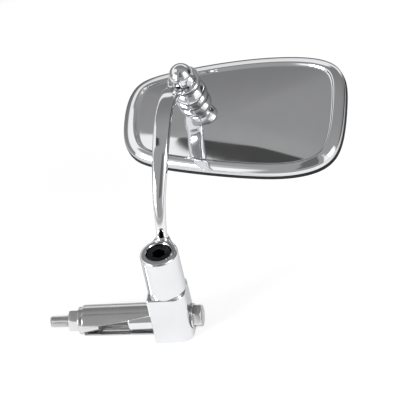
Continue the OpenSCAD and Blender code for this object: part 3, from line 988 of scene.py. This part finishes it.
def build_sleeves():
    v, f = sleeve_rings(lambda x: 1.0 + x * math.tan(math.radians(7.7)), 1)
    o = obj_from("half_sleeve_upper", v, f, angle=38)
    place(o, "upper_half", "upper_sleeve", "zinc_steel")
    v, f = sleeve_rings(lambda x: 3.8, -1)
    t = math.radians(DROOP)
    x, z = v[:, 0] - SLEEVE_X, v[:, 2].copy()
    v = np.stack([x * math.cos(t) + z * math.sin(t) + SLEEVE_X, v[:, 1], -x * math.sin(t) + z * math.cos(t)], 1)
    o2 = obj_from("half_sleeve_lower", v, f, angle=38)
    place(o2, "lower_half", "lower_sleeve", "zinc_steel")


build_shell()
build_seal()
build_glass()
build_dome()
build_arm()
build_block()
build_screw()
build_bolt()
build_nut()
build_acorn()
build_lock_washer()
build_spring_washer()
build_bolt_washer()
build_pivot_washer()
build_cone()
build_sleeves()

# CAD nodes that keep their shape get the same finishes
for name, o in nodes.items():
    s = next(p["material_slot"] for p in frame["record"]["subparts"] if p["node"] == name)
    o.data.materials.clear()
    o.data.materials.append(MAT[s])

# ---------------------------------------------------------------- floor
FLOOR_Z = -9.05
fv, ff = skin_lathe([(620.0, FLOOR_Z - 6.0), (620.0, FLOOR_Z)], 96)
floor = obj_from("floor", fv + np.array([30.0, 60.0, 0.0]), ff, angle=30)
m, nt, b = new_mat("floor_painted_light_pool")
# a painted pool of light round the object: the floor's colour and glow fall off to grey beyond it
tcf = nt.nodes.new("ShaderNodeTexCoord")
mpf = nt.nodes.new("ShaderNodeMapping")
mpf.inputs["Location"].default_value = (-0.02 / 0.18, -0.095 / 0.2, 0)
mpf.inputs["Scale"].default_value = (1 / 0.18, 1 / 0.2, 0)
lnf = nt.nodes.new("ShaderNodeVectorMath")
lnf.operation = "LENGTH"
link(nt, tcf.outputs["Object"], mpf.inputs["Vector"])
link(nt, mpf.outputs["Vector"], lnf.inputs[0])
far = ramp(nt, lnf.outputs["Value"], 1.05, 1.5, 0.0, 1.0)
link(nt, mixc(nt, far, (0.5, 0.5, 0.5), (0.35, 0.35, 0.35)), b.inputs["Base Color"])
# painted light: the floor glows, brighter in the pool round the object and dim beyond it
link(nt, mixc(nt, far, (0.63, 0.63, 0.63), (0.1, 0.1, 0.1)), b.inputs["Emission Color"])
b.inputs["Roughness"].default_value = 0.9
b.inputs["Emission Strength"].default_value = 1.0
floor.data.materials.append(m)

# ---------------------------------------------------------------- world: a soft studio, by direction
world = bpy.data.worlds.new("studio")
bpy.context.scene.world = world
world.use_nodes = True
wt = world.node_tree
bg = next(n for n in wt.nodes if n.type == "BACKGROUND")
tc = wt.nodes.new("ShaderNodeTexCoord")


def put(sock, v):
    if isinstance(v, (int, float)):
        sock.default_value = v
    else:
        wt.links.new(v, sock)


def calc(op, a, b=0.0):
    m = wt.nodes.new("ShaderNodeMath")
    m.operation = op
    put(m.inputs[0], a)
    put(m.inputs[1], b)
    return m.outputs[0]


def step(v, lo, hi, a=0.0, b=1.0):
    """Goes smoothly from a at lo to b at hi."""
    r = wt.nodes.new("ShaderNodeMapRange")
    r.interpolation_type = "SMOOTHSTEP"
    r.inputs["From Min"].default_value = lo
    r.inputs["From Max"].default_value = hi
    r.inputs["To Min"].default_value = a
    r.inputs["To Max"].default_value = b
    put(r.inputs["Value"], v)
    return r.outputs["Result"]


def blend(current, value, mask):
    mx = wt.nodes.new("ShaderNodeMix")
    mx.data_type = "FLOAT"
    put(mx.inputs[2], current)
    put(mx.inputs[3], value)
    put(mx.inputs[0], mask)
    return mx.outputs[0]


def toward(direction):
    d = Vector(direction).normalized()
    dot = wt.nodes.new("ShaderNodeVectorMath")
    dot.operation = "DOT_PRODUCT"
    dot.inputs[1].default_value = d
    wt.links.new(tc.outputs["Generated"], dot.inputs[0])
    return dot.outputs["Value"]


def lobe(current, direction, inner, outer, value):
    """Blends the sky towards a value within a cone of directions."""
    return blend(current, value, step(toward(direction), math.cos(math.radians(outer)), math.cos(math.radians(inner))))


sx, sy, sz = toward((1, 0, 0)), toward((0, 1, 0)), toward((0, 0, 1))
up = step(sz, 0.2, 0.35)
zz = calc("MAXIMUM", sz, 0.15)
ga, gb = calc("DIVIDE", sx, zz), calc("DIVIDE", sy, zz)
sky = step(sy, 0.0, 0.65, 0.37, 0.24)
# a bright wall low behind and to the left
side = step(toward((-0.6, 0.8, 0)), 0.15, 0.4)
low = calc("MULTIPLY", calc("MULTIPLY", step(sz, 0.58, 0.48), step(sz, 0.16, 0.26)), side)
sky = blend(sky, 1.05, low)
sky = blend(sky, 0.3, calc("MULTIPLY", step(sz, 0.24, 0.14), side))
# a bright sheet and a dark card ahead of it, overhead in front
near = calc("MULTIPLY", up, step(gb, -0.27, -0.22))


def below(slope, offset):
    """1 on the side of the line gb + slope * ga + offset < 0."""
    return step(calc("ADD", calc("MULTIPLY", ga, slope), calc("ADD", gb, offset)), 0.006, -0.006)


sheet = calc("MULTIPLY", calc("MULTIPLY", below(0.65, 0.11), below(2.36, 1.0436)), step(ga, -0.442, -0.456))
sky = blend(sky, 1.05, calc("MULTIPLY", near, sheet))
card = calc("MAXIMUM", below(1.22, 0.5195), below(0.26, 0.1508))
card = calc("MULTIPLY", card, calc("MULTIPLY", step(ga, -0.456, -0.442), step(ga, -0.222, -0.238)))
sky = blend(sky, 0.07, calc("MULTIPLY", near, card))
# soft boxes in front left and right, and a dark card between them
flat = calc("SQRT", calc("MAXIMUM", calc("SUBTRACT", 1.0, calc("MULTIPLY", sz, sz)), 0.01))


def box(current, az, half, lo, hi, value):
    az = math.radians(az)
    h = calc("DIVIDE", toward((math.cos(az), math.sin(az), 0)), flat)
    m = calc("MULTIPLY", step(h, math.cos(math.radians(half + 2.5)), math.cos(math.radians(half - 2.5))),
             calc("MULTIPLY", step(sz, math.sin(math.radians(lo - 2)), math.sin(math.radians(lo + 2))),
                  step(sz, math.sin(math.radians(hi + 2.5)), math.sin(math.radians(hi - 2.5)))))
    return blend(current, value, m)


sky = box(sky, -142, 24, -25, 31, 1.1)
sky = box(sky, -28, 24, -25, 52, 1.1)
sky = box(sky, -84, 15, 18, 66, 0.16)
sky = lobe(sky, (1.0, 0.45, 0.05), 10, 24, 0.04)
cmb = wt.nodes.new("ShaderNodeCombineColor")
for i in range(3):
    wt.links.new(sky, cmb.inputs[i])
wt.links.new(cmb.outputs[0], bg.inputs["Color"])
bg.inputs["Strength"].default_value = 1.0


def area(name, at, look, size, power):
    l = bpy.data.lights.new(name, "AREA")
    l.shape = "RECTANGLE"
    l.size, l.size_y = size
    l.energy = power
    o = bpy.data.objects.new(name, l)
    o.location = Vector(at)
    o.rotation_euler = (Vector(look) - Vector(at)).to_track_quat("-Z", "Y").to_euler()
    bpy.context.scene.collection.objects.link(o)
    return o


area("key_front", (-0.8, -0.66, 0.36), (0.02, 0.04, 0.04), (0.5, 0.5), 8.5)
area("fill_right", (0.9, -0.3, 0.6), (0.02, 0.04, 0.04), (0.35, 0.6), 3.0)

# ---------------------------------------------------------------- camera
cx = Vector((0.97622, 0.12804, -0.17493))
cy = Vector((0.04458, 0.67112, 0.74001))
cz = Vector((0.21215, -0.73021, 0.64945))
target = (Vector((26.7, 30.2, 48.2)) + cx * 0.3 - cy * 0.25) * MM
cam = bpy.data.cameras.new("camera")
cam.sensor_width = 36
cam.lens = 36 * 4500 / 193.2
cam.clip_start, cam.clip_end = 0.5, 20
co = bpy.data.objects.new("camera", cam)
M = Matrix((cx, cy, cz)).transposed().to_4x4()
M.translation = target + cz * 4.5
co.matrix_world = M
bpy.context.scene.collection.objects.link(co)
bpy.context.scene.camera = co
bpy.context.scene.view_settings.view_transform = "Standard"
